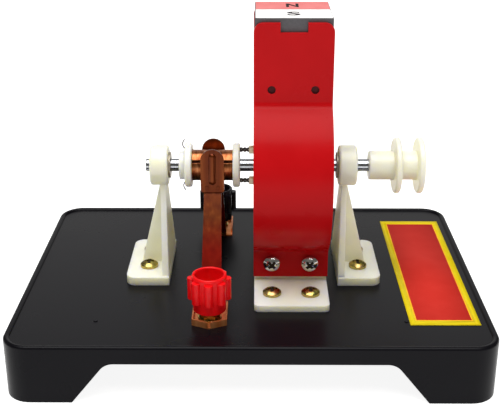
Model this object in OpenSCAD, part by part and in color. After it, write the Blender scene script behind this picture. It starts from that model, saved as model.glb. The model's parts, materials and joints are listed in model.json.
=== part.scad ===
// Classroom demonstration electric motor.
// A two-pole permanent-magnet motor on a black moulded base: a ferrite block clamped between two
// bent red pole plates, a wound armature on a plain shaft in two plastic brackets, a two-segment
// commutator, two copper strip brushes on screw terminals, and a plastic belt pulley.
// Millimetres. +X along the shaft towards the pulley, +Y away from the front terminal, +Z up.
// The origin is on the floor, under the middle of the base.

/* [Base] */
// Length of the base, along the shaft
base_l = 180; // [176:1:220]
// Depth of the base, front to back
base_d = 130; // [124:1:160]
// Height of the base, to the top of its edge bead
base_h = 23; // [20:0.5:30]
// Corner radius of the base, seen from above
base_corner_r = 10; // [5:0.5:14]
// Radius of the round bead along the top edge
bead_r = 1.2; // [1.1:0.1:1.8]
// How far the top panel lies below the top of the bead
panel_drop = 0.9; // [0.4:0.1:1.1]
// Thickness of the top panel
panel_t = 3; // [2:0.5:5]
// Thickness of the skirt wall
skirt_t = 2.5; // [1.5:0.5:4]
// Half width of the arch in the front and rear skirt, at the floor
arch_half = 64.8; // [50:0.2:70]
// Height of the arch
arch_h = 16.1; // [10:0.1:17]
// Slope of the arch's two ends, in degrees from the floor
arch_slope = 51.6; // [40:0.2:70]
// Fillet radius where an arch end meets the arch top
arch_fillet_r = 6; // [3:0.5:9]
// Diameter of a screw boss under the top panel
boss_d = 7.6; // [6:0.2:10]
// Depth of a screw boss under the top panel
boss_l = 6; // [4:0.5:10]
// Gap between the right moulding pip and the label
pip_label_gap = 0.3; // [0.1:0.1:5]
// Distance of the two moulding pips from the front of the base
pip_inset_y = 20.9; // [10:0.1:30]
// Diameter of a moulding pip
mould_pip_d = 1.6; // [1:0.1:3]
// Height of a moulding pip
mould_pip_h = 0.3; // [0.2:0.1:0.6]

/* [Label] */
// Gap between the label and the foot of the right bracket
label_bracket_gap = 7.3; // [2:0.1:12]
// Length of the bare label, front to back
label_l = 97; // [60:0.2:110]
// Thickness of the label sheet
label_t = 0.2; // [0.1:0.05:0.4]
// Gap between the label and the right end of the base
label_gap = 4.6; // [3:0.2:6]
// Width of the yellow border along the long sides
border_side = 2.3; // [1:0.1:4]
// Width of the yellow border along the short sides
border_end = 3.2; // [1:0.1:5]

/* [Shaft line] */
// Distance of the shaft behind the middle of the base
axis_y = 1.5; // [-2:0.1:4]
// Height of the shaft above the top panel
shaft_rise = 45.5; // [44:0.1:50]
// Diameter of the shaft
shaft_d = 5; // [4:0.1:6]
// How far the shaft stands out of the left bearing
shaft_stub = 1.9; // [0.5:0.1:6]
// Depth of the shaft's right end in the pulley's bore
shaft_recess = 1; // [0.5:0.1:3]
// Distance from the origin to the left bearing
left_bearing_x = 33; // [32:0.1:34]
// Distance from the origin to the right bearing
right_bearing_x = 34.6; // [33:0.1:36]

/* [Brackets] */
// Diameter of a bearing housing
bearing_d = 16; // [13:0.2:18]
// Length of a bearing housing
bearing_l = 7.2; // [5:0.1:7.6]
// Thickness of the bracket's upright wall at its foot
bracket_wall = 2.7; // [2:0.1:4]
// Thickness of the wall at the height of the shaft
wall_top_t = 2; // [1.4:0.1:3]
// How far the wall's inner face leans outwards up to the shaft
wall_lean = 1.4; // [0:0.1:2]
// Half width of the wall at the height of the shaft
wall_top_half = 2; // [1:0.1:6]
// How far a bracket foot reaches outwards
foot_reach = 17.3; // [15:0.1:18]
// Half length of a bracket foot, front to back
foot_half = 18.6; // [16:0.2:22]
// How far the middle of a bracket foot lies behind the shaft line
foot_y = 1.9; // [-1:0.1:2.4]
// Thickness of a bracket foot
foot_t = 3.5; // [2.5:0.1:5]
// Corner radius of a bracket foot
foot_corner_r = 4; // [2:0.2:7]
// Thickness of the bracket's gusset
gusset_t = 3; // [2:0.1:4]
// How far the gusset reaches outwards at the foot
gusset_reach = 12.2; // [8:0.1:14]
// Distance from a bracket's inner face to its screws
bracket_screw_x = 8.9; // [8:0.1:11]
// Half distance between a bracket's two screws
bracket_screw_half = 7.6; // [7:0.1:12]
// Flange diameter of a bearing bush
bush_flange_d = 10.4; // [9.4:0.1:12]
// Flange thickness of a bearing bush
bush_flange_t = 0.8; // [0.4:0.1:1.2]
// Wall thickness of a bearing bush
bush_wall = 1.5; // [1:0.1:1.9]

/* [Magnet and pole plates] */
// Distance from the origin to the middle of the magnet, along the shaft
magnet_x = 15.6; // [15:0.1:17]
// How far the ferrite block lies within the width of the seat, on each side
magnet_inset = 0.1; // [0:0.05:2]
// Depth of the ferrite block and of the seat block between the plates
magnet_d = 32; // [30:0.2:34]
// Height of the ferrite block
magnet_h = 24.7; // [18:0.1:30]
// Height of the underside of the ferrite block above the shaft
magnet_rise = 37.3; // [36.6:0.1:44]
// Thickness of the pole mark strips on the block
mark_t = 0.15; // [0.1:0.05:0.3]
// How far a pole plate stands beyond the width of the seat, on each side
plate_beyond = 0.3; // [0:0.05:0.6]
// Thickness of a pole plate
plate_t = 1.6; // [1:0.1:2]
// Outer radius of a pole plate's bulge about the shaft
bulge_r = 34.4; // [34:0.1:35]
// Outer bend radius where the bulge meets the flat parts
bend_r = 3.5; // [2.5:0.1:4]
// How far the ferrite block stands above the pole plates
magnet_proud = 1.5; // [0.5:0.1:4]
// Gap between the pole plates and the seat's foot
plate_lift = 2; // [0.4:0.1:2.6]
// Corner radius at the top of a pole plate
plate_corner_r = 3.4; // [1:0.1:5]
// Width of the notch in the top of a pole plate
notch_w = 10; // [6:0.1:14]
// Depth of the notch in the top of a pole plate
notch_depth = 3.6; // [2:0.1:6]
// Diameter of the pressed pips that the ferrite block rests on
pip_d = 3; // [2:0.1:4]
// Depth to which a pip is pressed
pip_depth = 1; // [0.6:0.1:1.2]
// Half distance between a plate's two pips
pip_half = 8.05; // [5:0.05:10]

/* [Magnet seat] */
// Width of the seat, along the shaft
seat_w = 28.8; // [26:0.1:30]
// Half length of the seat's foot, front to back
seat_half = 38.6; // [36.8:0.2:46]
// Thickness of the seat's foot
seat_foot_t = 2.7; // [2:0.1:4]
// Corner radius of the seat's foot
seat_corner_r = 2.2; // [1:0.2:8]
// Distance of the seat's screws in front of and behind the shaft line
seat_screw_y = 28.6; // [26:0.2:33]
// Half distance between screws along the shaft
seat_screw_half = 7.5; // [6:0.1:9]
// Height of the pole plate screws above the top panel
plate_screw_rise = 10.6; // [9:0.1:10.7]
// Gap between the armature and the hollow of the seat block
seat_gap = 1.6; // [1:0.1:2.4]

/* [Screws] */
// Thread diameter of the small screws
screw_d = 3; // [2.5:0.1:3.4]
// Head diameter of the brass screws
screw_head_d = 7.2; // [5.5:0.1:7.4]
// Head diameter of the chromed screws
plate_head_d = 6.6; // [5:0.1:6.8]
// Head height of a small screw
screw_head_h = 2.6; // [1.6:0.1:2.8]
// Length of a brass screw under its head
screw_l = 10; // [8:0.5:11]
// Length of a chromed screw under its head
plate_screw_l = 8; // [5:0.5:12]

/* [Terminals] */
// Distance from the origin to the terminals and brushes, along the shaft
post_x = 15.4; // [13:0.1:17]
// Distance of a terminal in front of or behind the shaft line
post_half = 43.5; // [41:0.1:48]
// Diameter of a terminal stud
stud_d = 4; // [3:0.1:4.4]
// Thread pitch of a terminal stud
stud_pitch = 0.7; // [0.5:0.05:0.8]
// Number of turns that a cap can be unscrewed
cap_turns = 5; // [2:1:5]
// Width of a nut across its corners
nut_d = 8.1; // [7:0.1:9]
// Height of a nut
nut_h = 2.8; // [2:0.1:3.2]
// Diameter of a washer
washer_d = 9; // [8.2:0.1:10]
// Thickness of a washer
washer_t = 0.6; // [0.4:0.1:1]
// Height of a terminal cap
cap_h = 14.4; // [12:0.1:18]
// Diameter of the rim of a terminal cap
cap_rim_d = 12.9; // [12:0.1:14]
// Diameter of the plain skirt of a terminal cap
cap_skirt_d = 12.3; // [11.5:0.1:13]
// Diameter over the grip ribs of a terminal cap
cap_rib_d = 16.3; // [15:0.1:18]
// Number of grip ribs on a terminal cap
cap_ribs = 8; // [5:1:10]
// Width of a grip rib
cap_rib_w = 3.4; // [2.4:0.1:4]
// Distance from the top of a cap to its ribs
cap_rib_drop = 1.6; // [1:0.1:3]
// Length of a grip rib
cap_rib_l = 8.5; // [5:0.1:9]
// Diameter of the recess in a cap
cap_bore_d = 10.5; // [9.5:0.1:11]
// Depth of the recess in a cap
cap_bore_h = 8; // [6:0.1:8.5]
// Diameter of the brass insert in a cap
insert_d = 7.4; // [6.6:0.1:8]

/* [Brushes] */
// Thickness of the copper strip
strip_t = 0.6; // [0.4:0.05:0.9]
// Width of the strip where it leaves the terminal
strip_w_low = 8.1; // [6:0.1:10]
// Width of the strip at its top
strip_w_top = 6.7; // [5:0.1:8]
// Width of the strip's tray under the terminal
tray_w = 13.1; // [11:0.1:15]
// Length of the tray in front of the terminal, to its point
tray_front = 8.3; // [7.4:0.1:10]
// Depth of the tray's two slanted front faces
tray_point = 3; // [1:0.1:4]
// Length of the tray from the terminal towards the magnet
tray_back = 11.6; // [9:0.1:13]
// Height of the tray's turned-up rim above the top panel
tray_rim_h = 2.6; // [1.4:0.1:4]
// Gap between the two front faces of the rim
tray_slit = 1; // [0.4:0.1:2]
// Width of a brush leaf
leaf_w = 9.3; // [7:0.1:11]
// Thickness of a brush leaf
leaf_t = 0.8; // [0.5:0.05:1.2]
// Height of a brush leaf's top above the shaft
leaf_rise = 8.8; // [7:0.1:10]
// Distance from the shaft down to a brush leaf's lower edge
leaf_drop = 9; // [8:0.1:12]
// Working gap between a brush leaf and the commutator
brush_gap = 0.25; // [0.1:0.05:0.5]
// Width of the rib pressed in a brush leaf
rib_w = 3; // [2:0.1:4]
// Height of the rib pressed in a brush leaf
rib_h = 13; // [8:0.1:14]
// Distance from a brush leaf's top down to its rib
rib_top_gap = 1.6; // [1:0.1:3]
// How far the rib stands out of a brush leaf
rib_proud = 0.8; // [0.4:0.1:1.2]
// Diameter of a rivet head
rivet_d = 1.6; // [1.2:0.1:2]
// Half distance between the two rivets of a brush
rivet_half = 2.2; // [1.4:0.1:2.5]

/* [Commutator] */
// Distance from the origin to the commutator's left flange
comm_left = 26.4; // [26:0.1:27]
// Distance from the origin to the face of the commutator's right flange
comm_right = 4.6; // [4:0.1:5.4]
// Thickness of a commutator flange
comm_flange_t = 2.8; // [2:0.1:3.2]
// Diameter of a commutator flange
comm_flange_d = 17.6; // [15:0.1:20]
// Diameter over the copper segments
comm_d = 12.3; // [11:0.1:13]
// Thickness of a copper segment
comm_t = 1.5; // [1:0.1:2]
// Width of the slot between the segments
comm_slot = 1.1; // [0.8:0.1:2]
// Diameter of the thrust collar
collar_d = 11.4; // [9:0.1:13]
// Thickness of the thrust collar
collar_t = 2.3; // [1.5:0.1:3]
// Angle at which the armature stands, pole axis above the horizontal
rotor_rest = 31.5; // [0:0.5:60]
// Distance of the coil leads from the shaft
lead_r = 6.5; // [6:0.1:7.4]
// Diameter of one strand of a lead
lead_d = 0.9; // [0.6:0.1:1]
// Length of a twisted lead
lead_l = 3.6; // [2.6:0.1:4]

/* [Armature] */
// Gap between the armature and the pole plates
air_gap = 1.4; // [1:0.1:2]
// Length of the iron core, along the shaft
core_l = 18; // [14:0.2:20]
// Width of a core limb
limb_w = 10; // [8:0.2:12]
// Diameter of the core's hub
core_hub_d = 14; // [11:0.2:15]
// Thickness of a pole shoe
shoe_t = 3.4; // [2.4:0.1:4]
// Half angle that a pole shoe spans
shoe_half_angle = 40; // [30:1:48]
// Wall thickness of a coil former
former_t = 0.9; // [0.6:0.1:1.2]
// Diameter of the winding wire
wire_d = 0.68; // [0.5:0.01:0.7]
// Number of turns in the outer layer of each coil
coil_turns = 12; // [8:1:12]
// Depth of the winding under its outer layer
winding_t = 2.4; // [1.4:0.1:2.6]

/* [Pulley] */
// Distance from the origin to the pulley's hub
pulley_x = 46.7; // [45:0.1:50]
// Diameter of the pulley's hub
pulley_hub_d = 11.5; // [9:0.1:13]
// Diameter of the pulley's flanges
pulley_d = 22.2; // [16:0.1:26]
// Thickness of a pulley flange
pulley_flange_t = 2.4; // [1.6:0.1:3]
// Length of the hub up to the first flange
pulley_hub_l = 9.9; // [6:0.1:14]
// Width of the belt groove
groove_w = 6.6; // [4.6:0.1:8]

/* [Hidden] */
$fn = 48;

// Clearance of a piece that is pressed on or glued in
fit = 0.02;
// Running clearance of the shaft in its bushes, and of a cap on its insert
running = 0.06;
// Clearance of a screw in the foot that it passes through
loose = 0.2;
// Overlap that keeps cuts and joined shapes from sharing a face
over = 1;
// Small step that sinks one shape into the shape that it grows from
sink = 0.4;

panel_z = base_h - panel_drop;
shaft_z = panel_z + shaft_rise;
post_z = panel_z + strip_t + washer_t + nut_h;
magnet_w = seat_w - 2 * magnet_inset;
plate_w = seat_w + 2 * plate_beyond;
label_x1 = base_l / 2 - label_gap;
label_x0 = right_bearing_x + foot_reach + label_bracket_gap;
label_w = label_x1 - label_x0;
pip_x = label_x0 - mould_pip_d / 2 - pip_label_gap;
screw_pilot_d = screw_d + 2 * fit;
bore_on_shaft = shaft_d + 2 * fit;

// Colours of the real pieces
cream = "#EDEBE2";
black_abs = "#2A282C";
pole_red = "#CC1C20";
copper = "#A0522D";
copper_bright = "#C88850";
brass = "#B8963C";
steel = "#A8AAAC";

// ---- Shared shapes -------------------------------------------------------------------------

// Rectangle with round corners, centred
module round_rect(w, d, r) {
    square([w - 2 * r, d], center = true);
    square([w, d - 2 * r], center = true);
    for (x = [-1, 1], y = [-1, 1])
        translate([x * (w / 2 - r), y * (d / 2 - r)]) circle(r);
}

// Half section of a disc with round edges: radius along x, thickness along y
module disc_section(r, t, edge) {
    square([r - edge, t]);
    translate([0, edge]) square([r, t - 2 * edge]);
    for (y = [edge, t - edge]) translate([r - edge, y]) circle(edge);
}

// Ring between two radii and two angles, under a half turn
module ring_sector(r_in, r_out, a0, a1) {
    reach = 2 * r_out;
    mid = (a0 + a1) / 2;
    intersection() {
        difference() {
            circle(r_out);
            circle(r_in);
        }
        polygon([[0, 0], for (a = [a0, mid, a1]) reach * [cos(a), sin(a)]]);
    }
}

// The shaft's own frame: x along the shaft, origin on its axis
module on_shaft() {
    translate([0, axis_y, shaft_z]) children();
}

// The armature's frame: the poles lie along y, turned to the angle at which it stands
module on_rotor() {
    on_shaft() rotate([-rotor_rest, 0, 0]) children();
}

// Plain round bar along the shaft, from x0 to x1
module bar(x0, x1, d) {
    translate([x0, 0, 0]) rotate([0, 90, 0]) cylinder(d = d, h = x1 - x0);
}

// Disc with round edges along the shaft, from x0 to x1
module disc(x0, x1, d, edge) {
    translate([x0, 0, 0]) rotate([0, 90, 0]) rotate_extrude() disc_section(d / 2, x1 - x0, edge);
}

// Mirrors a front piece to the rear of the shaft line
module at_rear() {
    translate([0, axis_y, 0]) mirror([0, 1, 0]) translate([0, -axis_y, 0]) children();
}

// Six-sided tube along a path, with the direction of the path and a direction across it at each point
wire_sides = 6;
module tube(path, along, across, d) {
    points = [for (i = [0:len(path) - 1], k = [0:wire_sides - 1])
        let (a = 360 * k / wire_sides)
        path[i] + d / 2 * (cos(a) * across[i] + sin(a) * cross(along[i], across[i]))];
    last = len(points) - wire_sides;
    walls = [for (i = [0:wire_sides:last - 1], k = [0:wire_sides - 1])
        let (a = i + k, b = i + (k + 1) % wire_sides)
        each [[a, a + wire_sides, b + wire_sides], [a, b + wire_sides, b]]];
    caps = [for (k = [1:wire_sides - 2])
        each [[0, k, k + 1], [last, last + k + 1, last + k]]];
    polyhedron(points, concat(walls, caps));
}

// Pan-head screw with a cross recess: underside of the head at the origin, shank downwards
module pan_screw(head_d, length, recess_turn = 0) {
    edge_h = 0.4 * screw_head_h;
    dome_h = screw_head_h - edge_h;
    dome_r = (pow(head_d / 2, 2) + dome_h * dome_h) / (2 * dome_h);
    recess_w = head_d / 5.5;
    recess_l = head_d * 0.56;
    recess_depth = screw_head_h * 0.6;
    difference() {
        rotate_extrude() intersection() {
            square([head_d / 2, screw_head_h]);
            translate([0, screw_head_h - dome_r]) circle(dome_r);
        }
        for (turn = [0, 90])
            rotate([0, 0, turn + recess_turn]) translate([-recess_l / 2, -recess_w / 2, screw_head_h - recess_depth])
                cube([recess_l, recess_w, recess_depth + over]);
    }
    translate([0, 0, -length]) cylinder(d = screw_d, h = length + sink);
}

// ---- Base and label ------------------------------------------------------------------------

bracket_screws_left = -(left_bearing_x + bracket_screw_x);
bracket_screws_right = right_bearing_x + bracket_screw_x;
base_screw_points = concat(
    [for (x = [bracket_screws_left, bracket_screws_right], side = [-1, 1])
        [x, axis_y + foot_y + side * bracket_screw_half]],
    [for (x = [-1, 1], side = [-1, 1])
        [magnet_x + x * seat_screw_half, axis_y + side * seat_screw_y]]);
stud_points = [for (side = [-1, 1]) [-post_x, axis_y + side * post_half]];

// The opening in the skirt: sloping ends, a flat top and a fillet between them
module arch_opening() {
    tangent = arch_fillet_r * tan(arch_slope / 2);
    top_half = arch_half - arch_h / tan(arch_slope);
    flat_half = top_half - tangent;
    side_x = top_half + tangent * cos(arch_slope);
    side_z = arch_h - tangent * sin(arch_slope);
    polygon([[-arch_half, -over], [arch_half, -over], [arch_half, 0], [side_x, side_z],
        [flat_half, arch_h], [-flat_half, arch_h], [-side_x, side_z], [-arch_half, 0]]);
    for (side = [-1, 1])
        translate([side * flat_half, arch_h - arch_fillet_r]) circle(arch_fillet_r);
}

// Round bead that runs along the outer top edge
module edge_bead() {
    x = base_l / 2 - base_corner_r;
    y = base_d / 2 - base_corner_r;
    path_r = base_corner_r - bead_r;
    translate([0, 0, base_h - bead_r]) {
        for (side = [-1, 1]) {
            translate([0, side * (y + path_r), 0]) rotate([0, 90, 0])
                cylinder(r = bead_r, h = 2 * x, center = true);
            translate([side * (x + path_r), 0, 0]) rotate([90, 0, 0])
                cylinder(r = bead_r, h = 2 * y, center = true);
        }
        for (corner = [0:3]) {
            sx = corner == 0 || corner == 3 ? 1 : -1;
            sy = corner < 2 ? 1 : -1;
            translate([sx * x, sy * y, 0]) rotate([0, 0, 90 * corner])
                rotate_extrude(angle = 90) translate([path_r, 0]) circle(bead_r);
        }
    }
}

module base() color(black_abs) {
    under_z = panel_z - panel_t;
    difference() {
        union() {
            linear_extrude(base_h - bead_r) round_rect(base_l, base_d, base_corner_r);
            linear_extrude(panel_z)
                round_rect(base_l - 2 * bead_r, base_d - 2 * bead_r, base_corner_r - bead_r);
            edge_bead();
            for (side = [-1, 1])
                translate([side * pip_x, pip_inset_y - base_d / 2, panel_z - sink])
                    cylinder(d = mould_pip_d, h = sink + mould_pip_h);
        }
        difference() {
            translate([0, 0, -over]) linear_extrude(under_z + over)
                round_rect(base_l - 2 * skirt_t, base_d - 2 * skirt_t, base_corner_r - skirt_t);
            for (p = base_screw_points)
                translate([p.x, p.y, under_z - boss_l]) cylinder(d = boss_d, h = boss_l + over);
        }
        for (side = [-1, 1])
            translate([0, side * (base_d - skirt_t) / 2, 0]) rotate([90, 0, 0])
                linear_extrude(skirt_t + 2 * over, center = true) arch_opening();
        for (p = base_screw_points)
            translate([p.x, p.y, under_z - boss_l - over])
                cylinder(d = screw_pilot_d, h = boss_l + panel_t + 2 * over);
        for (p = stud_points)
            translate([p.x, p.y, under_z - over]) cylinder(d = stud_d + 2 * fit, h = panel_t + 2 * over);
    }
}

module on_label() {
    translate([(label_x0 + label_x1) / 2, axis_y, panel_z]) children();
}

module label_field() {
    square([label_w - 2 * border_side, label_l - 2 * border_end], center = true);
}

module label_border() color("#E8D21E") on_label() linear_extrude(label_t) difference() {
    square([label_w, label_l], center = true);
    label_field();
}

module label_panel() color("#CC352B") on_label() linear_extrude(label_t) label_field();

// ---- Brackets and bearings -----------------------------------------------------------------

// A bracket's frame: x outwards from its bearing's inner face, z up from the top panel
module at_bracket(side) {
    if (side < 0)
        mirror([1, 0, 0]) translate([left_bearing_x, axis_y, panel_z]) children();
    else
        translate([right_bearing_x, axis_y, panel_z]) children();
}

module bracket() {
    bush_d = shaft_d + 2 * bush_wall + 2 * fit;
    round_x = foot_reach - foot_corner_r;
    round_y = foot_half - foot_corner_r;
    housing_low = shaft_rise - bearing_d / 2 + sink;
    housing_edge_r = 1;
    difference() {
        union() {
            translate([0, foot_y, 0]) linear_extrude(foot_t) {
                translate([0, -foot_half]) square([round_x, 2 * foot_half]);
                translate([0, -round_y]) square([foot_reach, 2 * round_y]);
                for (side = [-1, 1]) translate([round_x, side * round_y]) circle(foot_corner_r);
            }
            intersection() {
                rotate([90, 0, 90]) linear_extrude(foot_reach)
                    polygon([[foot_y - foot_half, 0], [foot_y + foot_half, 0],
                        [wall_top_half, shaft_rise], [-wall_top_half, shaft_rise]]);
                rotate([90, 0, 0]) linear_extrude(3 * foot_half, center = true)
                    polygon([[0, 0], [bracket_wall, 0],
                        [wall_lean + wall_top_t, shaft_rise], [wall_lean, shaft_rise]]);
            }
            rotate([90, 0, 0]) linear_extrude(gusset_t, center = true)
                polygon([[bracket_wall - sink, 0], [gusset_reach, 0], [gusset_reach, foot_t],
                    [wall_lean + wall_top_t + sink, housing_low], [wall_lean + sink, housing_low]]);
            translate([0, 0, shaft_rise]) disc(0, bearing_l, bearing_d, housing_edge_r);
        }
        translate([0, 0, shaft_rise]) bar(-over, bearing_l + over, bush_d);
        for (side = [-1, 1])
            translate([bracket_screw_x, foot_y + side * bracket_screw_half, -over])
                cylinder(d = screw_d + 2 * loose, h = foot_t + 2 * over);
    }
}

module left_bracket() color(cream) at_bracket(-1) bracket();
module right_bracket() color(cream) at_bracket(1) bracket();

// Flanged metal bush, its flange on the side of the housing that faces the magnet
module bush() {
    translate([0, 0, shaft_rise]) difference() {
        union() {
            bar(-bush_flange_t, 0, bush_flange_d);
            bar(-sink, bearing_l, shaft_d + 2 * bush_wall);
        }
        bar(-bush_flange_t - over, bearing_l + over, shaft_d + 2 * running);
    }
}

module left_bush() color(steel) at_bracket(-1) bush();
module right_bush() color(steel) at_bracket(1) bush();

module bracket_screws() color(brass)
    for (end = [-1, 1], side = [-1, 1])
        at_bracket(end) translate([bracket_screw_x, foot_y + side * bracket_screw_half, foot_t])
            pan_screw(screw_head_d, screw_l);

// ---- Magnet, pole plates and seat ----------------------------------------------------------

plate_off = magnet_d / 2 + plate_t;
plate_top = magnet_rise + magnet_h - magnet_proud;
plate_bottom = seat_foot_t + plate_lift - shaft_rise;
plate_screw_drop = shaft_rise - plate_screw_rise;
bend_centre = sqrt(pow(bulge_r + bend_r, 2) - pow(plate_off + bend_r, 2));
armature_r = bulge_r - plate_t - air_gap;

// All that lies on the shaft's side of one face of a pole plate: a flat, a bulge and two bends
module plate_side(flat_x, bulge, bend, extra) {
    bend_x = plate_off + bend_r;
    translate([0, plate_bottom - extra]) square([flat_x, plate_top - plate_bottom + 2 * extra]);
    circle(bulge);
    for (side = [-1, 1]) difference() {
        polygon([[0, 0], [bend_x, side * bend_centre], [0, side * bend_centre]]);
        translate([bend_x, side * bend_centre]) circle(bend);
    }
}

// Cross section of a pole plate: x outwards from the shaft line, y up from the shaft
module plate_section() {
    intersection() {
        difference() {
            plate_side(plate_off, bulge_r, bend_r, 0);
            plate_side(plate_off - plate_t, bulge_r - plate_t, bend_r + plate_t, over);
        }
        translate([0, -2 * bulge_r]) square(4 * bulge_r);
    }
}

// A pole plate seen from outside: round top corners and a notch between two lobes
module plate_outline() {
    low_h = plate_top - plate_bottom - plate_corner_r;
    difference() {
        union() {
            translate([-plate_w / 2, plate_bottom]) square([plate_w, low_h]);
            translate([plate_corner_r - plate_w / 2, plate_bottom])
                square([plate_w - 2 * plate_corner_r, low_h + plate_corner_r]);
            for (side = [-1, 1])
                translate([side * (plate_w / 2 - plate_corner_r), plate_top - plate_corner_r])
                    circle(plate_corner_r);
        }
        translate([-notch_w / 2, plate_top - notch_depth]) square([notch_w, notch_depth + over]);
    }
}

// Rear pole plate about the shaft; the front one is its mirror image
module pole_plate() {
    pip_z = magnet_rise - pip_d / 2 - fit;
    inner = plate_off - plate_t;
    translate([magnet_x, 0, 0]) {
        difference() {
            intersection() {
                rotate([90, 0, 90]) linear_extrude(plate_w + 2 * over, center = true) plate_section();
                rotate([90, 0, 0]) linear_extrude(3 * bulge_r, center = true) plate_outline();
            }
            for (side = [-1, 1]) {
                translate([side * pip_half, plate_off + over, pip_z]) rotate([90, 0, 0])
                    cylinder(d = pip_d, h = pip_depth + over);
                translate([side * seat_screw_half, plate_off + over, -plate_screw_drop])
                    rotate([90, 0, 0]) cylinder(d = screw_d + 2 * loose, h = plate_t + 2 * over);
            }
        }
        for (side = [-1, 1])
            translate([side * pip_half, inner + sink, pip_z]) rotate([90, 0, 0])
                cylinder(d = pip_d, h = sink + pip_depth);
    }
}

module front_pole_plate() color(pole_red) on_shaft() mirror([0, 1, 0]) pole_plate();
module rear_pole_plate() color(pole_red) on_shaft() pole_plate();

module pole_plate_screws() color(steel) on_shaft()
    for (side = [-1, 1], end = [-1, 1])
        translate([magnet_x + end * seat_screw_half, side * plate_off, -plate_screw_drop])
            rotate([-90 * side, 0, 0]) pan_screw(plate_head_d, plate_screw_l, 45);

module magnet_block() color("#3A383C") on_shaft()
    translate([magnet_x - magnet_w / 2, -magnet_d / 2, magnet_rise])
        cube([magnet_w, magnet_d, magnet_h]);

// Half of the strip on top of the block: side -1 is the front half and 1 the rear half
module pole_mark(side) {
    on_shaft() translate([magnet_x - magnet_w / 2, min(0, side) * magnet_d / 2, magnet_rise + magnet_h])
        cube([magnet_w, magnet_d / 2, mark_t]);
}

module north_mark() color("#F09090") pole_mark(1);
module south_mark() color("white") pole_mark(-1);

// Foot with round corners, and an upright block between the plates with a hollow for the armature
module magnet_seat() color(cream) {
    block_h = shaft_z - bend_centre - panel_z;
    pilot_l = magnet_d / 2 - plate_screw_l + plate_t - over;
    translate([0, axis_y, panel_z]) difference() {
        union() {
            translate([magnet_x, 0, 0]) linear_extrude(seat_foot_t)
                round_rect(seat_w, 2 * seat_half, seat_corner_r);
            translate([magnet_x - seat_w / 2, -magnet_d / 2, 0]) cube([seat_w, magnet_d, block_h]);
        }
        translate([0, 0, shaft_rise])
            bar(magnet_x - seat_w, magnet_x + seat_w, 2 * (armature_r + seat_gap));
        for (end = [-1, 1], side = [-1, 1]) {
            translate([magnet_x + end * seat_screw_half, side * seat_screw_y, -over])
                cylinder(d = screw_d + 2 * loose, h = seat_foot_t + 2 * over);
            translate([magnet_x + end * seat_screw_half, side * pilot_l, plate_screw_rise])
                rotate([-90 * side, 0, 0]) cylinder(d = screw_pilot_d, h = magnet_d);
        }
    }
}

module seat_screws() color(brass)
    for (end = [-1, 1], side = [-1, 1])
        translate([magnet_x + end * seat_screw_half, axis_y + side * seat_screw_y, panel_z + seat_foot_t])
            pan_screw(screw_head_d, screw_l);

// ---- Terminals -----------------------------------------------------------------------------

cap_gap = 0.3;
cap_z = post_z + cap_gap;
cap_floor_t = 1;
under_stud_l = 1.2;
// Length of stud that still holds a cap when it is fully unscrewed
thread_hold = 3.3;
stud_top_z = cap_z + cap_turns * stud_pitch + thread_hold;

module at_terminals() {
    for (p = stud_points) translate([p.x, p.y, 0]) children();
}

module terminal_studs() color(brass) at_terminals() {
    low_z = panel_z - panel_t - nut_h - under_stud_l;
    translate([0, 0, low_z]) cylinder(d = stud_d, h = stud_top_z - low_z);
}

// A nut above the washer clamps each brush strip, and one under the panel holds the stud
module terminal_nuts() color(brass) at_terminals()
    for (z = [post_z - nut_h, panel_z - panel_t - nut_h])
        translate([0, 0, z]) difference() {
            cylinder(d = nut_d, h = nut_h, $fn = 6);
            translate([0, 0, -over]) cylinder(d = stud_d + 2 * fit, h = nut_h + 2 * over);
        }

module terminal_washers() color(brass) at_terminals()
    translate([0, 0, panel_z + strip_t]) difference() {
        cylinder(d = washer_d, h = washer_t);
        translate([0, 0, -over]) cylinder(d = stud_d + 2 * fit, h = washer_t + 2 * over);
    }

// Cap with a deep open recess above the stud, a round rim and upright grip ribs
module terminal_cap() {
    rim_t = (cap_rim_d - cap_bore_d) / 2;
    rib_low = cap_h - cap_rib_drop - cap_rib_l;
    insert_h = cap_h - cap_bore_h - cap_floor_t;
    difference() {
        union() {
            cylinder(d = cap_skirt_d, h = rib_low + sink);
            translate([0, 0, rib_low]) cylinder(d = cap_rim_d, h = cap_h - rim_t / 2 - rib_low);
            translate([0, 0, cap_h - rim_t / 2]) rotate_extrude()
                translate([(cap_rim_d - rim_t) / 2, 0]) circle(d = rim_t);
            for (i = [1:cap_ribs])
                rotate([0, 0, 360 * i / cap_ribs])
                    translate([(cap_rib_d - cap_rib_w) / 2, 0, rib_low])
                        cylinder(d = cap_rib_w, h = cap_rib_l);
        }
        translate([0, 0, cap_h - cap_bore_h]) cylinder(d = cap_bore_d, h = cap_bore_h + over);
        translate([0, 0, -over]) cylinder(d = insert_d + 2 * running, h = insert_h + over);
        translate([0, 0, -over]) cylinder(d = stud_d + 2 * loose, h = cap_h);
    }
}

// Threaded brass insert, carried up the stud as the cap around it turns
module cap_insert() {
    insert_h = cap_h - cap_bore_h - cap_floor_t;
    difference() {
        translate([0, 0, fit]) cylinder(d = insert_d, h = insert_h - 2 * fit);
        translate([0, 0, -over]) cylinder(d = stud_d + 2 * running, h = insert_h + 2 * over);
    }
}

module at_cap(side) {
    translate([-post_x, axis_y + side * post_half, cap_z]) children();
}

module red_cap() color("#D8141A") at_cap(-1) terminal_cap();
module black_cap() color("#1A161C") at_cap(1) terminal_cap();
module red_cap_insert() color(brass) at_cap(-1) cap_insert();
module black_cap_insert() color(brass) at_cap(1) cap_insert();

echo(cap_lift_mm = cap_turns * stud_pitch);

// ---- Brushes -------------------------------------------------------------------------------

comm_r = comm_d / 2;
leaf_y = comm_r + brush_gap;
tab_l = 4.3;
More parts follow.
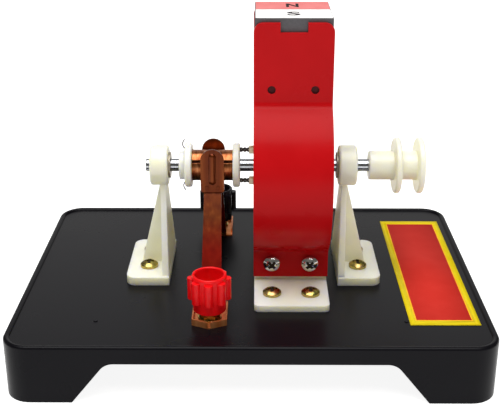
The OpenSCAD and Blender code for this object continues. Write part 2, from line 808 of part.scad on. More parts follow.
// Distance of the strip's upper bend below the leaf
bend_gap = 0.3;
rivet_shank_d = 0.9;
rivet_head_h = 0.4;
rivet_rise = 1.9;
rivet_z = rivet_rise - leaf_drop;

// Strip of even thickness along a path, with round bends
module strip_section(path) {
    for (i = [1:len(path) - 1]) {
        step = path[i] - path[i - 1];
        translate(path[i - 1]) rotate(atan2(step.y, step.x)) translate([0, -strip_t / 2])
            square([norm(step), strip_t]);
    }
    for (i = [1:len(path) - 2]) translate(path[i]) circle(d = strip_t);
}

// Plan of the tray: square at the back, two slanted faces that meet in a point at the front
module tray_plan(wall) {
    face = atan2(tray_point, tray_w / 2);
    half = tray_w / 2 - wall;
    point_y = tray_front - wall / cos(face);
    back = tray_back + (wall > 0 ? over : 0);
    polygon([[-half, back], [half, back], [half, half * tan(face) - point_y],
        [0, -point_y], [-half, half * tan(face) - point_y]]);
}

// Front strip, in the terminal's frame: z up from the top panel
module brush_arm() {
    tab_y = post_half - leaf_y + strip_t / 2;
    tab_z = shaft_rise - leaf_drop - bend_gap;
    rim_end = tray_back - tray_rim_h;
    difference() {
        linear_extrude(strip_t) tray_plan(0);
        translate([0, 0, -over]) cylinder(d = stud_d + 2 * loose, h = strip_t + 2 * over);
    }
    difference() {
        linear_extrude(tray_rim_h) difference() {
            tray_plan(0);
            tray_plan(strip_t);
        }
        translate([-tray_slit / 2, -2 * tray_front, strip_t])
            cube([tray_slit, 2 * tray_front, tray_rim_h]);
        translate([-tray_w, rim_end, strip_t]) cube([2 * tray_w, tray_back, tray_rim_h]);
    }
    difference() {
        intersection() {
            rotate([90, 0, 90]) linear_extrude(tray_w, center = true)
                strip_section([[rim_end, strip_t / 2], [tray_back, strip_t / 2],
                    [tab_y, tab_z], [tab_y, tab_z + tab_l]]);
            rotate([90, 0, 0]) linear_extrude(3 * post_half, center = true)
                polygon([[-strip_w_low / 2, -over], [strip_w_low / 2, -over],
                    [strip_w_top / 2, tab_z + tab_l + over], [-strip_w_top / 2, tab_z + tab_l + over]]);
        }
        for (side = [-1, 1])
            translate([side * rivet_half, tab_y + over, shaft_rise + rivet_z]) rotate([90, 0, 0])
                cylinder(d = rivet_shank_d + 2 * fit, h = 2 * over);
    }
}

module leaf_outline() {
    low_r = 1;
    half = leaf_w / 2;
    translate([0, leaf_rise - half]) circle(half);
    translate([-half, low_r - leaf_drop]) square([leaf_w, leaf_rise + leaf_drop - half - low_r]);
    translate([low_r - half, -leaf_drop]) square([leaf_w - 2 * low_r, 2 * low_r]);
    for (side = [-1, 1]) translate([side * (half - low_r), low_r - leaf_drop]) circle(low_r);
}

// Front leaf in the shaft's frame: y = 0 on the side that meets the commutator
module brush_leaf() {
    rib_r = (pow(rib_w / 2, 2) + rib_proud * rib_proud) / (2 * rib_proud);
    rib_end = (rib_h - rib_w) / 2;
    rotate([90, 0, 0]) {
        difference() {
            linear_extrude(leaf_t) leaf_outline();
            for (side = [-1, 1]) translate([side * rivet_half, rivet_z, -over])
                cylinder(d = rivet_shank_d + 2 * fit, h = leaf_t + 2 * over);
        }
        intersection() {
            translate([0, leaf_rise - rib_top_gap - rib_h / 2, leaf_t + rib_proud - rib_r]) {
                rotate([90, 0, 0]) cylinder(r = rib_r, h = 2 * rib_end, center = true);
                for (side = [-1, 1]) translate([0, side * rib_end, 0]) sphere(rib_r);
            }
            translate([-leaf_w / 2, -leaf_drop, leaf_t / 2])
                cube([leaf_w, leaf_rise + leaf_drop, leaf_t + rib_proud]);
        }
    }
}

module at_leaf() {
    on_shaft() translate([-post_x, -leaf_y, 0]) children();
}

module front_brush_arm() color(copper)
    translate([-post_x, axis_y - post_half, panel_z]) brush_arm();
module rear_brush_arm() color(copper)
    at_rear() translate([-post_x, axis_y - post_half, panel_z]) brush_arm();
module front_brush_leaf() color(copper) at_leaf() brush_leaf();
module rear_brush_leaf() color(copper) at_rear() at_leaf() brush_leaf();

module rivet_pair() {
    at_leaf() for (side = [-1, 1])
        translate([side * rivet_half, strip_t, rivet_z]) rotate([90, 0, 0]) {
            cylinder(d = rivet_shank_d, h = strip_t + leaf_t);
            for (z = [-rivet_head_h, strip_t + leaf_t])
                translate([0, 0, z]) cylinder(d = rivet_d, h = rivet_head_h);
        }
}

module brush_rivets() color(copper_bright) {
    rivet_pair();
    at_rear() rivet_pair();
}

// ---- Rotor: shaft, collar and commutator ---------------------------------------------------

shaft_x0 = -(left_bearing_x + bearing_l + shaft_stub);
pulley_end = pulley_x + pulley_hub_l + 2 * pulley_flange_t + groove_w;
core_x0 = magnet_x - core_l / 2;
shaft_end_r = 0.4;

module shaft() color(steel) on_shaft()
    disc(shaft_x0, pulley_end - shaft_recess, shaft_d, shaft_end_r);

// A disc on the shaft with its bore cut through
module bored_disc(x0, x1, d, edge) {
    on_shaft() difference() {
        disc(x0, x1, d, edge);
        bar(x0 - over, x1 + over, bore_on_shaft);
    }
}

collar_edge_r = 0.5;
flange_edge_r = 0.8;

module thrust_collar() color(cream)
    bored_disc(-comm_left - collar_t, -comm_left, collar_d, collar_edge_r);
module commutator_left_flange() color(cream)
    bored_disc(-comm_left, comm_flange_t - comm_left, comm_flange_d, flange_edge_r);
module commutator_right_flange() color(cream)
    bored_disc(-comm_right - comm_flange_t, -comm_right, comm_flange_d, flange_edge_r);

comm_x0 = comm_flange_t - comm_left;
comm_x1 = -comm_right - comm_flange_t;
comm_core_d = comm_d - 2 * comm_t - 2 * fit;

module commutator_core() color("#3A2A22") on_shaft() difference() {
    bar(comm_x0, comm_x1, comm_core_d);
    bar(comm_x0 - over, comm_x1 + over, bore_on_shaft);
}

// One copper half; the slots between the halves lie along the armature's pole axis
module commutator_half(side) {
    on_rotor() difference() {
        bar(comm_x0, comm_x1, comm_d);
        bar(comm_x0 - over, comm_x1 + over, comm_core_d + 2 * fit);
        translate([comm_x0 - over, -comm_r - over, side > 0 ? -comm_d : -comm_slot / 2])
            cube([comm_x1 - comm_x0 + 2 * over, comm_d + 2 * over, comm_d + comm_slot / 2]);
    }
}

module commutator_segment_a() color(copper_bright) commutator_half(1);
module commutator_segment_b() color(copper_bright) commutator_half(-1);

// Bare wire ends that bow out of the left flange, beyond its rim
module segment_tails() color("#3A2A22") {
    tail_d = 0.4;
    tail_low = 6.9;
    tail_high = 10.7;
    bow = 0.9;
    half = (tail_high - tail_low) / 2;
    arc_r = (half * half + bow * bow) / (2 * bow);
    arc_half = asin(half / arc_r);
    spare_angle = 5;
    on_shaft() for (side = [-1, 1])
        intersection() {
            translate([arc_r - bow - comm_left, 0, side * (tail_low + half)]) rotate([90, 0, 0])
                rotate([0, 0, 180 - arc_half - spare_angle])
                    rotate_extrude(angle = 2 * (arc_half + spare_angle))
                        translate([arc_r, 0]) circle(d = tail_d);
            translate([-comm_left - 2 * bow, -tail_d, -2 * tail_high])
                cube([2 * bow, 2 * tail_d, 4 * tail_high]);
        }
}

// ---- Rotor: leads and armature -------------------------------------------------------------

tag_l = 1.8;
tag_h = 3;
tag_w = 1.6;
disc_rim = 0.9;
disc_t = 1;
sleeve_d = 9;
disc_x = -comm_right + lead_l + tag_l;

// Two twisted pairs from the commutator to the tags
strand_gap = 0.1;
lead_twist = 450;
lead_rings = 15;
module coil_leads() color("#3A2A22") on_shaft()
    for (side = [-1, 1], strand = [0, 180]) {
        r = (lead_d + strand_gap) / 2;
        path = [for (i = [0:lead_rings])
            let (a = strand + lead_twist * i / lead_rings)
            [lead_l * i / lead_rings, r * cos(a), r * sin(a)]];
        along = [for (i = [0:lead_rings]) [1, 0, 0]];
        across = [for (i = [0:lead_rings]) [0, 1, 0]];
        translate([-comm_right, 0, side * lead_r]) tube(path, along, across, lead_d);
    }

module lead_tags() color("#C9B79A") on_shaft()
    for (side = [-1, 1])
        translate([disc_x - tag_l, -tag_w / 2, side * lead_r - tag_h / 2]) cube([tag_l, tag_w, tag_h]);

// Insulating disc that carries the tags, with a sleeve that spaces it from the core
module terminal_disc() color(cream) on_shaft() difference() {
    union() {
        bar(disc_x, disc_x + disc_t, 2 * lead_r + tag_h + 2 * disc_rim);
        bar(disc_x + disc_t - sink, core_x0, sleeve_d);
    }
    bar(disc_x - over, core_x0 + over, bore_on_shaft);
}

shoe_in_r = armature_r - shoe_t;

// Section of the core across the shaft, pole axis along x
module core_section() {
    difference() {
        union() {
            circle(d = core_hub_d);
            square([2 * (shoe_in_r + sink), limb_w], center = true);
            for (side = [0, 180]) rotate(side)
                ring_sector(shoe_in_r, armature_r, -shoe_half_angle, shoe_half_angle);
        }
        circle(d = bore_on_shaft);
    }
}

module armature_core() color("#6A6C70") on_rotor()
    translate([core_x0, 0, 0]) rotate([90, 0, 90]) linear_extrude(core_l) core_section();

// The winding space on a limb, along y from the shaft; x is counted from the magnet's middle
limb_gap = 0.1;
wind_gap = 0.12;
lead_bend_r = 0.9;
tube_x = core_l / 2 + limb_gap + former_t;
tube_z = limb_w / 2 + limb_gap + former_t;
pack_x = tube_x + winding_t;
pack_z = tube_z + winding_t;
turn_x = pack_x + wind_gap + wire_d / 2;
turn_z = pack_z + wind_gap + wire_d / 2;
cheek_x = turn_x + wire_d;
cheek_z = turn_z + wire_d / 2;
former_y0 = core_hub_d / 2 + limb_gap;
former_y1 = sqrt(shoe_in_r * shoe_in_r - cheek_z * cheek_z) - limb_gap;
wind_y0 = former_y0 + former_t;
wind_y1 = former_y1 - former_t;
turn_y0 = wind_y0 + wire_d + lead_bend_r;
wire_pitch = (wind_y1 - wind_y0 - 2 * (wire_d + lead_bend_r)) / coil_turns;

// Limb a points to the front terminal's side and limb b to the rear
module on_limb(side) {
    on_rotor() translate([magnet_x, 0, 0]) rotate([side > 0 ? 0 : 180, 0, 0]) children();
}

// Extrudes a plan in x and z between two distances from the shaft
module along_limb(y0, y1) {
    translate([0, y1, 0]) rotate([90, 0, 0]) linear_extrude(y1 - y0) children();
}

module coil_former() {
    difference() {
        union() {
            along_limb(former_y0, wind_y0) square([2 * cheek_x, 2 * cheek_z], center = true);
            along_limb(wind_y1, former_y1) square([2 * cheek_x, 2 * cheek_z], center = true);
            along_limb(former_y0, former_y1) square([2 * tube_x, 2 * tube_z], center = true);
        }
        along_limb(former_y0 - over, former_y1 + over)
            square([core_l + 2 * limb_gap, limb_w + 2 * limb_gap], center = true);
    }
}

// Point on a rectangle of half sizes a and b with soft corners, at an angle
soft = 0.5;
function soft_power(v) = sign(v) * pow(abs(v), soft);
function soft_rect(a, b, angle) = [a * soft_power(cos(angle)), b * soft_power(sin(angle))];

rings_per_turn = 24;
bend_rings = 3;

// Deep layers of the winding, as one plain body
module winding_core() {
    along_limb(wind_y0, wind_y1) difference() {
        polygon([for (i = [1:rings_per_turn]) soft_rect(pack_x, pack_z, 360 * i / rings_per_turn)]);
        square([2 * (tube_x + fit), 2 * (tube_z + fit)], center = true);
    }
}

// Outer layer: one wire, out of the inner cheek, round the limb and into the outer cheek
function turn_point(i) =
    let (p = soft_rect(turn_x, turn_z, 360 * i / rings_per_turn))
    [p.x, turn_y0 + wire_pitch * i / rings_per_turn, p.y];
last_ring = coil_turns * rings_per_turn;
function end_bend(end, side) = [for (i = [1:bend_rings])
    let (a = 90 * i / bend_rings)
    end + lead_bend_r * [0, side * (1 - cos(a)), side * sin(a)]];
function reversed(list) = [for (i = [len(list) - 1:-1:0]) list[i]];
start_bend = end_bend(turn_point(0), -1);
finish_bend = end_bend(turn_point(last_ring), 1);
wire_path = concat(
    [start_bend[bend_rings - 1] - [0, wire_d, 0]], reversed(start_bend),
    [for (i = [0:last_ring]) turn_point(i)],
    finish_bend, [finish_bend[bend_rings - 1] + [0, wire_d, 0]]);
path_last = len(wire_path) - 1;

function unit(v) = v / norm(v);
function direction(i) =
    i == 0 || i == path_last ? [0, 1, 0]
    : unit(wire_path[i + 1] - wire_path[i - 1]);
// Outward direction across the wire; on the bends it is that of the straight stretch beside them
function outward(i) =
    i <= bend_rings + 1 || i >= path_last - bend_rings - 1 ? [1, 0, 0]
    : unit(cross([0, 1, 0], direction(i)));

module winding() {
    tube(wire_path, [for (i = [0:path_last]) direction(i)], [for (i = [0:path_last]) outward(i)], wire_d);
}

// Least gap of the wire to itself, between points at least half a turn apart along it
half_turn = rings_per_turn / 2;
least_wire_gap = min([for (i = [0:path_last - half_turn], j = [i + half_turn:path_last])
    norm(wire_path[i] - wire_path[j])]) - wire_d;
echo(least_wire_gap_mm = least_wire_gap);

module coil_former_a() color(cream) on_limb(-1) coil_former();
module coil_former_b() color(cream) on_limb(1) coil_former();
module winding_core_a() color(copper) on_limb(-1) winding_core();
module winding_core_b() color(copper) on_limb(1) winding_core();
module winding_a() color(copper) on_limb(-1) winding();
module winding_b() color(copper) on_limb(1) winding();

// ---- Pulley --------------------------------------------------------------------------------

module pulley() color(cream) on_shaft() {
    edge = 0.8;
    hub_edge = 0.4;
    flange_x = pulley_x + pulley_hub_l;
    groove_x = flange_x + pulley_flange_t;
    difference() {
        union() {
            disc(pulley_x, flange_x + edge, pulley_hub_d, hub_edge);
            disc(flange_x, groove_x, pulley_d, edge);
            bar(groove_x - edge, groove_x + groove_w + edge, pulley_hub_d);
            disc(groove_x + groove_w, pulley_end, pulley_d, edge);
        }
        bar(pulley_x - over, pulley_end + over, bore_on_shaft);
    }
}

base();
label_border();
label_panel();
left_bracket();
right_bracket();
left_bush();
right_bush();
bracket_screws();
magnet_seat();
seat_screws();
front_pole_plate();
rear_pole_plate();
pole_plate_screws();
magnet_block();
north_mark();
south_mark();
terminal_studs();
terminal_nuts();
terminal_washers();
red_cap_insert();
red_cap();
black_cap_insert();
black_cap();
front_brush_arm();
rear_brush_arm();
front_brush_leaf();
rear_brush_leaf();
brush_rivets();
shaft();
thrust_collar();
commutator_left_flange();
commutator_right_flange();
commutator_core();
commutator_segment_a();
commutator_segment_b();
segment_tails();
coil_leads();
lead_tags();
terminal_disc();
armature_core();
coil_former_a();
coil_former_b();
winding_core_a();
winding_core_b();
winding_a();
winding_b();
pulley();
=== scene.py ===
import json
import math

import bmesh
import bpy
from mathutils import Matrix, Vector


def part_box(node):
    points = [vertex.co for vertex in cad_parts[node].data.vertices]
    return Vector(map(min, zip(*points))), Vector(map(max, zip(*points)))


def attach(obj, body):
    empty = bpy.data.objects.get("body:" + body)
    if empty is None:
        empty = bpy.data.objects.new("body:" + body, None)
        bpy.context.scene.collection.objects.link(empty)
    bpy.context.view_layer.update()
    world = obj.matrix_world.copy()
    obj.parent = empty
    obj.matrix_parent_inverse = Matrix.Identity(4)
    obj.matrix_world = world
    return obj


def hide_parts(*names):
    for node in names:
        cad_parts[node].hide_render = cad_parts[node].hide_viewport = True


# Demonstration electric motor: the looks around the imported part, in its own frame
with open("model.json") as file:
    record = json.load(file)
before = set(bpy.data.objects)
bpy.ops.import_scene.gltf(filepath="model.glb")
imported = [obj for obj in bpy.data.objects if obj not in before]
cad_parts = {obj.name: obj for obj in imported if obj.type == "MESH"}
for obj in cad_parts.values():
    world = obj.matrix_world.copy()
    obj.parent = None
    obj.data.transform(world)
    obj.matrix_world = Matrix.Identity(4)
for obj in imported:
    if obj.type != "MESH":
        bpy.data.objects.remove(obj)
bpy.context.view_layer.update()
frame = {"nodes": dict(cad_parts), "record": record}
mm = 0.001

behaviour = frame["record"]["behaviour"]
bodyOf = {node: body for body, nodes in behaviour["bodies"].items() for node in nodes}


def hexColor(code):
    # sRGB hex to the linear values that a shader takes
    parts = [int(code[i:i + 2], 16) / 255 for i in (1, 3, 5)]
    return [c / 12.92 if c <= 0.04045 else ((c + 0.055) / 1.055) ** 2.4 for c in parts] + [1.0]


def addNode(tree, kind, settings, links):
    # A shader node: its properties and sockets by name, then its links as socket: (node, output)
    node = tree.nodes.new("ShaderNode" + kind)
    for name, value in settings.items():
        if name == "stops":
            ramp = node.color_ramp
            while len(ramp.elements) < len(value):
                ramp.elements.new(0.5)
            for element, (position, color) in zip(ramp.elements, value):
                element.position = position
                element.color = hexColor(color)
        elif hasattr(node, name):
            setattr(node, name, value)
        else:
            node.inputs[name].default_value = value
    for name, (source, output) in links.items():
        tree.links.new(source.outputs[output], node.inputs[name])
    return node


def newMaterial(name, sockets):
    # A material with its even values set on the shader; also its tree, shader and coordinates
    material = bpy.data.materials.new(name)
    material.use_nodes = True
    tree = material.node_tree
    shader = tree.nodes["Principled BSDF"]
    for socket, value in sockets.items():
        shader.inputs[socket].default_value = hexColor(value) if isinstance(value, str) else value
    return material, tree, shader, addNode(tree, "TexCoord", {}, {})


def feedShader(tree, shader, sources):
    # Links outputs to the shader, as socket: (node, output)
    for socket, (source, output) in sources.items():
        tree.links.new(source.outputs[output], shader.inputs[socket])


def makeFinish(name, sockets, look):
    # A material whose colour drifts in patches, and its gloss and relief with them. In look:
    #   patch and detail are the patches' size in mm and their fineness, tones their colours
    #   gloss is the roughness, which follows the patches' values over span
    #   depth is the relief's height in mm and strength how clearly it shows; the relief is the
    #   patches' own, or else a grain of its own size in mm and grainDetail
    #   stretch pulls the pattern out along an axis, where its value is under 1
    material, tree, shader, place = newMaterial(name, sockets)
    where = (place, "Object")
    if "stretch" in look:
        pulled = addNode(tree, "Mapping", {"Scale": look["stretch"]}, {"Vector": where})
        where = (pulled, "Vector")
    patches = addNode(tree, "TexNoise", {
        "Scale": 1 / (look["patch"] * mm), "Detail": look["detail"],
        "Roughness": look.get("harshness", 0.5)}, {"Vector": where})
    tone = addNode(tree, "ValToRGB", {"stops": look["tones"]}, {"Fac": (patches, "Fac")})
    sources = {"Base Color": (tone, "Color")}
    if "gloss" in look:
        (start, end), (first, last) = look.get("span", (0, 1)), look["gloss"]
        shine = addNode(tree, "MapRange", {
            "From Min": start, "From Max": end, "To Min": first, "To Max": last},
            {"Value": (patches, "Fac")})
        sources["Roughness"] = (shine, "Result")
    if "depth" in look:
        relief = patches
        if "grain" in look:
            relief = addNode(tree, "TexNoise", {
                "Scale": 1 / (look["grain"] * mm), "Detail": look["grainDetail"]},
                {"Vector": where})
        bump = addNode(tree, "Bump", {
            "Strength": look["strength"], "Distance": look["depth"] * mm},
            {"Height": (relief, "Fac")})
        sources["Normal"] = (bump, "Normal")
    feedShader(tree, shader, sources)
    return material


# Moulded ABS, black: deep charcoal with a soft sheen and faint handling smears. The mould's
# spark grain of about 0.05 mm is drawn at 0.5 mm so that it shows
blackAbs = makeFinish("blackAbsMoulded", {"IOR": 1.54, "Specular IOR Level": 0.08}, {
    "patch": 35.7, "detail": 4, "tones": [(0.3, "#0C0B0F"), (0.7, "#100F13")],
    "gloss": (0.25, 0.33), "span": (0.3, 0.7),
    "grain": 0.5, "grainDetail": 2, "depth": 0.02, "strength": 0.18})

# Moulded nylon, natural: milky ivory, and a little light passes through its thin walls. Its
# grain is drawn at 0.8 mm so that it shows
naturalNylon = makeFinish("naturalNylonMoulded", {
    "IOR": 1.53, "Subsurface Weight": 0.85, "Subsurface Radius": (1.0, 0.94, 0.5),
    "Subsurface Scale": 5.0 * mm}, {
    "patch": 16.67, "detail": 3, "tones": [(0.3, "#F1EED6"), (0.7, "#F8F6E4")],
    "gloss": (0.3, 0.42), "span": (0.3, 0.7),
    "grain": 0.8, "grainDetail": 2, "depth": 0.02, "strength": 0.15})

# Stoving enamel on bent sheet steel, signal red: a wet gloss with a faint orange peel of 2.4 mm
redEnamel = makeFinish("redStovingEnamel", {
    "IOR": 1.5, "Specular IOR Level": 0.07, "Coat Weight": 0.01, "Coat Roughness": 0.1}, {
    "patch": 22.2, "detail": 3, "tones": [(0.3, "#AE0B10"), (0.7, "#B80F14")],
    "gloss": (0.24, 0.34), "span": (0.3, 0.7),
    "grain": 2.4, "grainDetail": 1, "depth": 0.03, "strength": 0.05})

# Yellow-passivated zinc plate: brassy, drifting between gold, rose and green
yellowZinc = makeFinish("yellowPassivatedZinc", {"Metallic": 1.0}, {
    "patch": 2.38, "detail": 2, "tones": [(0.32, "#98944F"), (0.5, "#B8A35C"), (0.68, "#C39C66")],
    "gloss": (0.2, 0.34)})

# Bright nickel plate: hard white reflections with dark gaps between them
brightNickel = makeFinish("brightNickelPlate", {"Metallic": 1.0}, {
    "patch": 6.67, "detail": 1, "tones": [(0.3, "#C9C8C4"), (0.7, "#DAD9D6")],
    "gloss": (0.14, 0.2)})

# Sintered ferrite, ground: a dull dark grey ceramic, its pits drawn at 0.9 mm so that they show
groundFerrite = makeFinish("groundFerrite", {"IOR": 1.9, "Specular IOR Level": 0.4}, {
    "patch": 0.9, "detail": 6, "harshness": 0.7, "tones": [(0.35, "#302E32"), (0.65, "#423F44")],
    "gloss": (0.42, 0.62), "depth": 0.04, "strength": 0.3})

# Copper of the commutator, rubbed by the brushes: orange, blotched brown where tarnish is left,
# and the blotches are drawn out round the shaft
wornCopper = makeFinish("wornCommutatorCopper", {"Metallic": 1.0}, {
    "patch": 1.6, "detail": 4, "stretch": (1.0, 0.35, 0.35),
    "tones": [(0.35, "#6E361E"), (0.5, "#965834"), (0.68, "#B87C52")],
    "gloss": (0.2, 0.42), "depth": 0.02, "strength": 0.2})

# Ground steel bar: bright grey, with the grinding wheel's rings drawn at 0.4 mm so that they show
groundSteel = makeFinish("groundSteelBar", {"Metallic": 1.0}, {
    "patch": 0.4, "detail": 3, "stretch": (1.0, 0.03, 0.03),
    "tones": [(0.3, "#93959A"), (0.7, "#BFC1C4")], "gloss": (0.12, 0.22)})

# Sintered iron bush, oil-soaked: a dull warm grey, mottled at 0.35 mm in colour and gloss only
sinteredIron = makeFinish("sinteredIronBush", {"Metallic": 0.9}, {
    "patch": 0.35, "detail": 4, "tones": [(0.35, "#948A7C"), (0.65, "#B4AA9A")],
    "gloss": (0.35, 0.55)})

# Moulded phenolic, the commutator's core: dull red-brown
brownPhenolic = makeFinish("brownPhenolic", {"IOR": 1.6}, {
    "patch": 0.6, "detail": 3, "tones": [(0.35, "#64362A"), (0.65, "#774638")],
    "gloss": (0.45, 0.6)})

# Enamelled copper wire: red-brown under a clear glossy varnish
enamelWire = makeFinish("enamelledCopperWire", {
    "Metallic": 0.75, "Coat Weight": 0.5, "Coat Roughness": 0.1}, {
    "patch": 3.85, "detail": 2, "tones": [(0.3, "#7C2E16"), (0.7, "#A6512A")],
    "gloss": (0.22, 0.36)})

# Varnished lead wire: nearly black, with a dull gloss
varnishedWire = makeFinish("varnishedLeadWire", {"IOR": 1.5}, {
    "patch": 2.0, "detail": 2, "tones": [(0.3, "#231A18"), (0.7, "#4A3A33")],
    "gloss": (0.3, 0.5)})

# Tinned brass tag with solder on it: pale, uneven metal
tinnedBrass = makeFinish("tinnedBrass", {"Metallic": 1.0}, {
    "patch": 1.43, "detail": 3, "tones": [(0.35, "#A8875C"), (0.6, "#CFC3AC")],
    "gloss": (0.25, 0.45)})

# Painted shade: a dark enamel put in the pole plates' dimples to stand for the shade inside them
dimpleShadeEnamel = makeFinish("paintedDimpleShade", {"IOR": 1.5, "Specular IOR Level": 0.15}, {
    "patch": 1.11, "detail": 2, "tones": [(0.3, "#3E070B"), (0.7, "#5A0E12")],
    "gloss": (0.3, 0.5)})

# Painted shade in the screws' cross recesses: a dull dark brown, mottled
recessShadeFill = makeFinish("paintedRecessShade", {"IOR": 1.45, "Specular IOR Level": 0.2}, {
    "patch": 0.5, "detail": 3, "tones": [(0.3, "#1E1710"), (0.7, "#3A2F22")],
    "gloss": (0.6, 0.85)})


def capPlastic(name, dark, light, glow):
    # Moulded polystyrene knob: a bright gloss with flow marks; glow is the light that passes
    return makeFinish(name, {
        "IOR": 1.59, "Specular IOR Level": 0.12, "Subsurface Weight": glow,
        "Subsurface Radius": (1.0, 0.12, 0.08), "Subsurface Scale": 1.2 * mm}, {
        "patch": 4.17, "detail": 3, "tones": [(0.3, dark), (0.7, light)],
        "gloss": (0.16, 0.3), "depth": 0.03, "strength": 0.12})


redKnob = capPlastic("redPolystyreneKnob", "#DC0A10", "#EE141A", 0.5)
blackKnob = capPlastic("blackPolystyreneKnob", "#0C0A0D", "#131015", 0.0)


def printedFilm(name, dark, light, roughness):
    # Screen-printed film: an even flat ink with the film's faint ripple
    return makeFinish(name, {"IOR": 1.48, "Roughness": roughness, "Specular IOR Level": 0.03}, {
        "patch": 6.67, "detail": 3, "tones": [(0.35, dark), (0.65, light)],
        "depth": 0.03, "strength": 0.03})


redFilm = printedFilm("redPrintedFilm", "#CC332A", "#CF362D", 0.7)
yellowFilm = printedFilm("yellowPrintedFilm", "#D8C012", "#DEC81E", 0.5)
orangeFilm = printedFilm("orangePrintedFilm", "#EFAE1C", "#F4B92A", 0.42)
pinkFilm = printedFilm("pinkPrintedFilm", "#D47674", "#DA807E", 0.5)
whiteFilm = printedFilm("whitePrintedFilm", "#F1F0EE", "#FAFAF8", 0.5)
blackInk = printedFilm("blackPrintedInk", "#1C1416", "#2B2023", 0.5)

# Rolled copper strip, tarnished: chestnut brown and streaked along the strip; towards its foot a
# painted red reflection of the red cap, and where it is bent up around the terminal bright bare
# copper, lightened further as a painted highlight
strip = {
    "streak": 22.2,  # length of a streak, mm
    "narrow": 9.0,  # how many times narrower than long it is
    "rimTop": 25.2, "fade": 0.8,  # height where the bright rim ends, and how softly, mm
    # the painted red reflection of the red cap fades into the brown tarnish between these heights
    "redTo": 39.0, "brownFrom": 50.0,  # heights between which red turns to brown, mm
    # bare copper on the rim, lightened further as a painted highlight of its upturned edges
    "rubbedAndHighlit": [(0.3, "#DE7A3C"), (0.7, "#FFAE70")],
    # painted red reflection of the red cap, low on the strip
    "capRedReflection": [(0.3, "#760A02"), (0.7, "#8C1806")],
    "tarnish": [(0.3, "#542008"), (0.55, "#682E0E"), (0.75, "#84461E")],
    "roughness": (0.36, 0.2), "metallic": (0.7, 0.55),  # of the rim, of the rest
    "depth": 0.02, "strength": 0.1}
brownCopper, tree, shader, place = newMaterial("copperStripTarnishAndPaintedLight", {"Specular IOR Level": 0.2})
along = addNode(tree, "Mapping", {"Scale": (strip["narrow"], strip["narrow"], 1.0)},
                {"Vector": (place, "Object")})
streak = addNode(tree, "TexNoise", {"Scale": 1 / (strip["streak"] * mm), "Detail": 2},
                 {"Vector": (along, "Vector")})
rubbedAndHighlit, capRedReflection, tarnish = (
    addNode(tree, "ValToRGB", {"stops": strip[state]}, {"Fac": (streak, "Fac")})
    for state in ("rubbedAndHighlit", "capRedReflection", "tarnish"))
height = addNode(tree, "SeparateXYZ", {}, {"Vector": (place, "Object")})
browning = addNode(tree, "MapRange", {
    "From Min": strip["redTo"] * mm, "From Max": strip["brownFrom"] * mm}, {"Value": (height, "Z")})
tarnishAndReflection = addNode(tree, "MixRGB", {}, {
    "Fac": (browning, "Result"), "Color1": (capRedReflection, "Color"), "Color2": (tarnish, "Color")})
aboveRim = addNode(tree, "MapRange", {
    "From Min": (strip["rimTop"] - strip["fade"]) * mm, "From Max": strip["rimTop"] * mm},
    {"Value": (height, "Z")})
tone = addNode(tree, "MixRGB", {}, {
    "Fac": (aboveRim, "Result"), "Color1": (rubbedAndHighlit, "Color"), "Color2": (tarnishAndReflection, "Color")})
shine, bare = (
    addNode(tree, "MapRange", {"To Min": strip[value][0], "To Max": strip[value][1]},
            {"Value": (aboveRim, "Result")})
    for value in ("roughness", "metallic"))
bump = addNode(tree, "Bump", {"Strength": strip["strength"], "Distance": strip["depth"] * mm},
               {"Height": (streak, "Fac")})
feedShader(tree, shader, {"Base Color": (tone, "Color"), "Roughness": (shine, "Result"),
                          "Metallic": (bare, "Result"), "Normal": (bump, "Normal")})

# Stacked electrical steel: thin dark sheets, so their edges show as lines across the shaft
stack = {"sheet": 1.0,  # mm; real sheets are 0.5 mm, drawn twice as coarse so that they show
         "rust": 3.33, "groove": 0.08, "strength": 0.5}
wavePitch = 2 * math.pi / 20  # of the wave texture at a scale of 1, in metres
stackedSteel, tree, shader, place = newMaterial("stackedElectricalSteel", {"Metallic": 0.95})
sheets = addNode(tree, "TexWave", {
    "bands_direction": "X", "Scale": wavePitch / (stack["sheet"] * mm)},
    {"Vector": (place, "Object")})
rust = addNode(tree, "TexNoise", {"Scale": 1 / (stack["rust"] * mm), "Detail": 4},
               {"Vector": (place, "Object")})
tone = addNode(tree, "ValToRGB", {"stops": [(0.35, "#4C4D50"), (0.65, "#6B6A69")]},
               {"Fac": (rust, "Fac")})
shine = addNode(tree, "MapRange", {"To Min": 0.35, "To Max": 0.5}, {"Value": (rust, "Fac")})
bump = addNode(tree, "Bump", {"Strength": stack["strength"], "Distance": stack["groove"] * mm},
               {"Height": (sheets, "Fac")})
feedShader(tree, shader, {"Base Color": (tone, "Color"), "Roughness": (shine, "Result"),
                          "Normal": (bump, "Normal")})
print("materials made:", len(bpy.data.materials))


